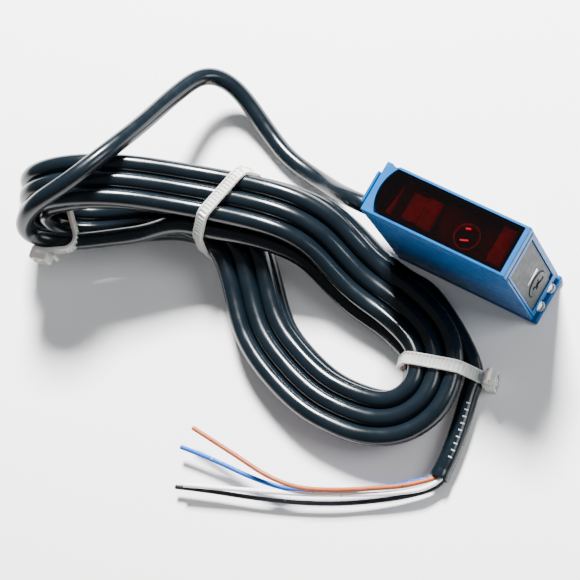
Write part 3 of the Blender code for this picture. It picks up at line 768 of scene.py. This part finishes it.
def strap_loop(tie, plane, line):
    """The strap's inner face in its own plane, pulled tight round the strands that cross it."""
    offset = line - plane.place
    flat = np.stack([offset @ plane.across, offset @ plane.upward], 1)
    near = np.abs(offset @ plane.through) < STRAP_WIDTH / 2 + 0.3
    near &= np.linalg.norm(flat - tie.middle, axis=1) < tie.reach
    angles = np.linspace(0, math.tau, 32, endpoint=False)
    circle = np.stack([np.cos(angles), np.sin(angles)], 1) * (CABLE / 2 + STRAP_GAP)
    outline = convex_hull((flat[near][:, None] + circle[None]).reshape(-1, 2))
    if tie.second_heading is None:
        outline[:, 1] = np.maximum(outline[:, 1], STRAP_ABOVE_FLOOR)
    around = length_of(np.vstack([outline, outline[:1]]))
    return even_loop(outline, POINTS_PER_RIB * round(around / RIB_PITCH))


def add_tie_head(name, matrix):
    """The head of a tie: a block with a rounded pocket through which the strap's locking pawl shows."""
    head = box_shape((-2.9 * MM, -2.5 * MM, 0.15 * MM), (2.9 * MM, 2.5 * MM, 4.1 * MM))
    top = max(head.faces, key=lambda face: face.calc_center_median().z)
    bmesh.ops.inset_region(head, faces=[top], thickness=0.8 * MM)
    pocket = bmesh.ops.extrude_face_region(head, geom=[top])
    moved = [item for item in pocket["geom"] if isinstance(item, bmesh.types.BMVert)]
    bmesh.ops.translate(head, vec=(0, 0, -2.2 * MM), verts=moved)
    bmesh.ops.delete(head, geom=[top], context="FACES")
    bmesh.ops.bevel(head, geom=head.edges[:], offset=0.28 * MM, segments=2, affect="EDGES")
    head.transform(matrix)
    head_piece = add_piece(f"tie_head_{name}", mesh_of(head, f"tie_head_{name}"), "cable_tie")

    pawl = [(-1.7, 0.0), (1.3, 0.0), (1.5, 0.9), (-0.4, 1.9), (-1.7, 1.6)]
    pawl_place = matrix @ Matrix.Translation((0, 1.2 * MM, 1.9 * MM)) @ Matrix.Rotation(math.pi / 2, 4, "X")
    pawl_shape = prism_shape([(x * MM, y * MM) for x, y in pawl], 2.4 * MM, pawl_place, 0.12 * MM)
    pawl_piece = add_piece(f"tie_pawl_{name}", mesh_of(pawl_shape, f"tie_pawl_{name}"), "cable_tie")
    return [head_piece, pawl_piece]


def add_tie_tail(name, plane, at_head, tangent, normal):
    """The strap's cut tail, which leaves the head along the loop and bends slightly outward."""
    tail = TIES[name].tail
    share = np.linspace(0, 1, POINTS_PER_RIB * max(2, round(tail / RIB_PITCH)) + 1)[:, None]
    bend = 0.25 * share**2
    inside_head = 2.2
    above_loop = 1.0
    start = at_head + tangent * inside_head + normal * above_loop
    stub = start + tail * share * (tangent + bend * normal)
    outward = normal - 2 * bend * tangent
    outward /= np.linalg.norm(outward, axis=1)[:, None]
    inner = plane.place + in_space(stub, plane)
    mesh = strap_mesh(f"tie_tail_{name}", inner, in_space(outward, plane), plane.through, False)
    return add_piece(f"tie_tail_{name}", mesh, "cable_tie")


def add_tie(name, line):
    """A cable tie round the strands that cross its plane: its strap, head, pawl and cut tail."""
    tie = TIES[name]
    plane = tie_plane(tie)
    loop = strap_loop(tie, plane, line)
    tangent = np.roll(loop, -1, 0) - np.roll(loop, 1, 0)
    tangent /= np.linalg.norm(tangent, axis=1)[:, None]
    normal = np.stack([tangent[:, 1], -tangent[:, 0]], 1)
    inner = plane.place + in_space(loop, plane)
    mesh = strap_mesh(f"tie_{name}", inner, in_space(normal, plane), plane.through, True)
    strap = add_piece(f"tie_{name}", mesh, "cable_tie")
    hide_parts(f"cable_tie_{name}")

    centre = loop.mean(axis=0)
    turn = np.arctan2(loop[:, 1] - centre[1], loop[:, 0] - centre[0])
    at = int(np.argmin(np.abs(np.angle(np.exp(1j * (turn - math.radians(tie.head_angle)))))))
    axes = [in_space(tangent[at], plane), plane.through, in_space(normal[at], plane)]
    matrix = Matrix([Vector(axis) for axis in axes]).transposed().to_4x4()
    matrix = Matrix.Translation(Vector(inner[at]) * MM) @ matrix
    head_pieces = add_tie_head(name, matrix)
    tail_piece = add_tie_tail(name, plane, loop[at], tangent[at], normal[at])
    return [strap, *head_pieces, tail_piece]


# ---------------------------------------------------------------- sensor


def finish_cad_nodes():
    """Gives every CAD node that stays visible its material."""
    slots = {row["node"]: row["material_slot"] for row in frame["record"]["subparts"]}
    for name, node in NODES.items():
        node.data.materials.clear()
        node.data.materials.append(MATERIALS[slots[name]])
    for name in ("receiver_lens", "emitter_lens"):
        NODES[name].data.materials[0] = MATERIALS["lens_glass"]


def cut_shape(obj, shape, material):
    """Cuts a solid shape out of a piece and keeps the result as its mesh. Cut faces take the material."""
    cutter = bpy.data.objects.new("cutter", mesh_of(shape, "cutter", smooth=False))
    cutter.data.materials.append(MATERIALS[material])
    SCENE.objects.link(cutter)
    boolean = obj.modifiers.new("cut", "BOOLEAN")
    boolean.object = cutter
    boolean.material_mode = "TRANSFER"
    bpy.context.view_layer.update()
    graph = bpy.context.evaluated_depsgraph_get()
    mesh = bpy.data.meshes.new_from_object(obj.evaluated_get(graph), depsgraph=graph)
    obj.modifiers.clear()
    obj.data = mesh
    bpy.data.objects.remove(cutter, do_unlink=True)


def adjuster_profile(radius, length):
    """The adjuster from its face down: a thin disc with rounded edges, on a shaft."""
    shaft = 1.3 * MM
    rounding = 0.18 * MM
    chamfer = 0.05 * MM
    disc = 0.95 * MM
    return [
        (0.0, 0.0),
        (radius - rounding, 0.0),
        (radius - chamfer, -chamfer),
        (radius, -rounding),
        (radius, -disc),
        (shaft, -disc),
        (shaft, -length),
        (0.0, -length),
    ]


def add_adjuster():
    """The adjuster, its face flush with the panel, with a cross slot and an arrow cut into it."""
    low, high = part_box("sensitivity_knob")
    joint = next(row for row in frame["joints"] if row["name"] == "sensitivity_turn")
    axis = Vector(joint["pos_m"])
    place = axis_matrix(Vector((high.x, axis.y, axis.z)), (1, 0, 0))
    profile = adjuster_profile((high.y - low.y) / 2, high.x - low.x)
    mesh = mesh_of(turned_shape(profile, place, 96), "adjuster_disc")
    knob = add_piece("adjuster_disc", mesh, "panel_grey", "adjuster")
    knob.data.materials.append(MATERIALS["black_plastic"])
    cross = [
        (-2.5, -0.6), (-0.55, -0.6), (-0.55, -1.9), (0.55, -1.9), (0.55, -0.6), (2.2, -0.6),
        (2.2, 0.6), (0.55, 0.6), (0.55, 1.9), (-0.55, 1.9), (-0.55, 0.6), (-2.5, 0.6),
    ]
    arrow = [(2.4, -1.1), (3.6, 0.0), (2.4, 1.1)]
    depth = 0.55 * MM
    setting = math.radians(-28)
    turned = place @ Matrix.Rotation(setting, 4, "Z") @ Matrix.Translation((0, 0, -depth))
    for outline in (cross, arrow):
        recess = prism_shape([(x * MM, y * MM) for x, y in outline], 2 * depth, turned)
        cut_shape(knob, recess, "black_plastic")
    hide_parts("sensitivity_knob")


def add_panel_symbol():
    """A plain wedge, thin to thick, printed above the adjuster to show which way the level rises."""
    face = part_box("control_panel")[1].x
    height = 20.4 * MM
    thickness = 0.05 * MM
    place = axis_matrix(Vector((face, 0, height)), (1, 0, 0))
    outline = [(-2.7, -0.12), (2.6, -0.85), (2.7, -0.7), (2.7, 0.7), (2.6, 0.85), (-2.7, 0.12)]
    shape = prism_shape([(x * MM, y * MM) for x, y in outline], thickness, place)
    add_piece("level_symbol", mesh_of(shape, "level_symbol", smooth=False), "symbol_white")


def quarter_arc(radius, top, crown, steps):
    """The outline of a crown from its top on the axis down to its rim."""
    angles = np.linspace(0, math.pi / 2, steps)
    return [(radius * math.sin(a), top - crown * (1 - math.cos(a))) for a in angles]


def add_indicators():
    """Clear domes, each over a white lamp."""
    rounding = 0.15 * MM
    lamp_below_top = 1.35 * MM
    lamp_crown = 0.5 * MM
    lamp_base = 1.0 * MM
    for name in ("power", "output"):
        low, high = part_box(f"{name}_light_lens")
        middle = (low + high) / 2
        radius = (high.y - low.y) / 2
        place = axis_matrix(Vector((low.x, middle.y, middle.z)), (1, 0, 0))
        top = high.x - low.x
        profile = quarter_arc(radius, top, 0.85 * radius, 16)
        profile += [(radius, rounding), (radius - rounding, 0.0), (0.0, 0.0)]
        dome_mesh = mesh_of(turned_shape(profile, place, 64), f"{name}_dome")
        dome = add_piece(f"{name}_dome", dome_mesh, "clear_lens")
        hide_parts(f"{name}_light_lens")
        lamp = radius * 0.62
        lamp_profile = quarter_arc(lamp, top - lamp_below_top, lamp_crown, 8)
        lamp_profile += [(lamp, lamp_base), (0.0, lamp_base)]
        lamp_mesh = mesh_of(turned_shape(lamp_profile, place, 40), f"{name}_lamp")
        add_piece(f"{name}_lamp", lamp_mesh, "lamp_white")


def add_window_details():
    """What shows dimly through the pane: a wedge of red light and the receiver's rim, both with a faint painted
    glow, and two bright bars that are painted glints of a lamp on the lens.
    """
    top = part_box("filter_plate")[1].z
    place = Matrix.Translation((0, 0, top - 0.5 * MM))
    wedge = [(-17.2, -5.0), (-15.6, -5.2), (-15.9, 4.1)]
    shape = prism_shape([(x * MM, y * MM) for x, y in wedge], 0.4 * MM, place, 0.05 * MM)
    add_piece("light_wedge", mesh_of(shape, "light_wedge"), "red_optics")
    low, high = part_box("receiver_lens")
    middle = (low + high) / 2
    radius = (high.x - low.x) / 2
    rim = [
        (radius, 0.35 * MM),
        (radius - 0.25 * MM, 0.5 * MM),
        (radius - 0.5 * MM, 0.35 * MM),
        (radius - 0.5 * MM, 0.0),
        (radius, 0.0),
        (radius, 0.35 * MM),
    ]
    rim_place = Matrix.Translation((middle.x, middle.y, top - 1.2 * MM))
    add_piece("receiver_rim", mesh_of(turned_shape(rim, rim_place, 72), "receiver_rim"), "red_optics")
    # Painted glints: two glowing red bars that stand in for a lamp's reflection on the receiver lens.
    bars = {
        "receiver_painted_glint_1": ((5.8, 0.55), (7.1, 0.95)),
        "receiver_painted_glint_2": ((5.9, -3.05), (8.1, -2.25)),
    }
    end_height = 38.1
    middle_height = 38.12
    for name, (start, end) in bars.items():
        halfway = np.mean([start, end], axis=0)
        line = np.array([(*start, end_height), (*halfway, middle_height), (*end, end_height)])
        tube(name, line, 0.5, "painted_glow", 3)


def add_edge_bead():
    """The raised rounded bead along the near edge of the control end."""
    low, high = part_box("housing")
    x = high.x / MM - 0.18
    y = low.y / MM + 0.36
    line = np.array([(x, y, z) for z in (5.2, 6.0, 20.0, 36.5, 37.4)])
    tube("edge_bead", line, 0.66, "housing_blue", 5)


def gland_profile(end, flange, back):
    """The strain relief from its tip: a tapering neck with soft ribs, a flange, and the part inside."""
    cable = CABLE / 2 * MM
    neck_start = 27.2 * MM
    flange_back = 24.9 * MM
    profile = [(0.0, end), (cable + 0.2 * MM, end), (cable + 0.4 * MM, end - 0.15 * MM)]
    ribs = 4
    pitch = (end - neck_start) / ribs
    for rib in range(ribs):
        share = rib / ribs
        radius = cable + (0.4 + 0.75 * share) * MM
        at = end - 0.3 * MM - (end - neck_start) * share
        profile += [
            (radius + 0.15 * MM, at - 0.10 * pitch),
            (radius + 0.15 * MM, at - 0.50 * pitch),
            (radius - 0.10 * MM, at - 0.62 * pitch),
            (radius - 0.10 * MM, at - 0.88 * pitch),
        ]
    return profile + [
        (flange - 0.3 * MM, neck_start - 0.5 * MM),
        (flange, neck_start - 0.8 * MM),
        (flange, flange_back),
        (cable + 1.0 * MM, flange_back),
        (cable + 1.0 * MM, back),
        (0.0, back),
    ]


def add_gland():
    """The strain relief at the cable end. Its heights are measured from the origin towards the cable."""
    low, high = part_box("cable_gland")
    middle = (low + high) / 2
    profile = gland_profile(-low.x, (high.z - low.z) / 2, -high.x)
    place = axis_matrix(Vector((0, middle.y, middle.z)), (-1, 0, 0))
    mesh = mesh_of(turned_shape(profile, place, 64), "strain_relief")
    gland = add_piece("strain_relief", mesh, "black_rubber")
    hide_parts("cable_gland")
    return gland


def add_cover_screws():
    """Countersunk screws with a cross recess in the back plate, each turned by a different amount."""
    shank = 0.8 * MM
    turn_per_screw = 0.4
    for number in range(1, 5):
        node = f"cover_screw_{number}"
        low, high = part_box(node)
        middle = (low + high) / 2
        head = (high.x - low.x) / 2
        place = axis_matrix(Vector((middle.x, middle.y, low.z)), (0, 0, -1))
        long = high.z - low.z
        profile = [
            (0.0, 0.0),
            (head - 0.12 * MM, 0.0),
            (head, -0.12 * MM),
            (head - 0.1 * MM, -0.25 * MM),
            (shank, -1.0 * MM),
            (shank, -long),
            (0.0, -long),
        ]
        name = f"back_screw_{number}"
        screw = add_piece(name, mesh_of(turned_shape(profile, place, 48), name), "steel")
        for turn in (0, math.pi / 2):
            bar = box_shape((-0.85 * MM, -0.2 * MM, -0.6 * MM), (0.85 * MM, 0.2 * MM, 0.3 * MM))
            bar.transform(place @ Matrix.Rotation(turn + turn_per_screw * number, 4, "Z"))
            cut_shape(screw, bar, "steel")
        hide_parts(node)


def add_insert_threads():
    """The thread inside each brass insert, as a fine helical ridge."""
    turns = 3
    thread_radius = 1.98
    inset = 0.25
    angles = np.linspace(0, math.tau * turns, 36 * turns)
    for number in (1, 2):
        low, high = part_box(f"mounting_insert_{number}")
        middle = (low + high) / 2 / MM
        x = middle.x + thread_radius * np.cos(angles)
        y = np.linspace(low.y / MM + inset, high.y / MM - inset, len(angles))
        z = middle.z + thread_radius * np.sin(angles)
        tube(f"insert_thread_{number}", np.stack([x, y, z], 1), 0.26, "brass", 2)


# ---------------------------------------------------------------- build

add_camera()
add_studio()
finish_cad_nodes()
cable_points = cable_line()
relief = add_gland()
end_sleeve = add_jacket_end(cable_points)
marks = add_jacket_marks(cable_points)
tie_pieces = [piece for name in TIES for piece in add_tie(name, cable_points)]
add_cable(cable_points)
add_conductors()
add_adjuster()
add_panel_symbol()
add_indicators()
add_window_details()
add_edge_bead()
add_cover_screws()
add_insert_threads()
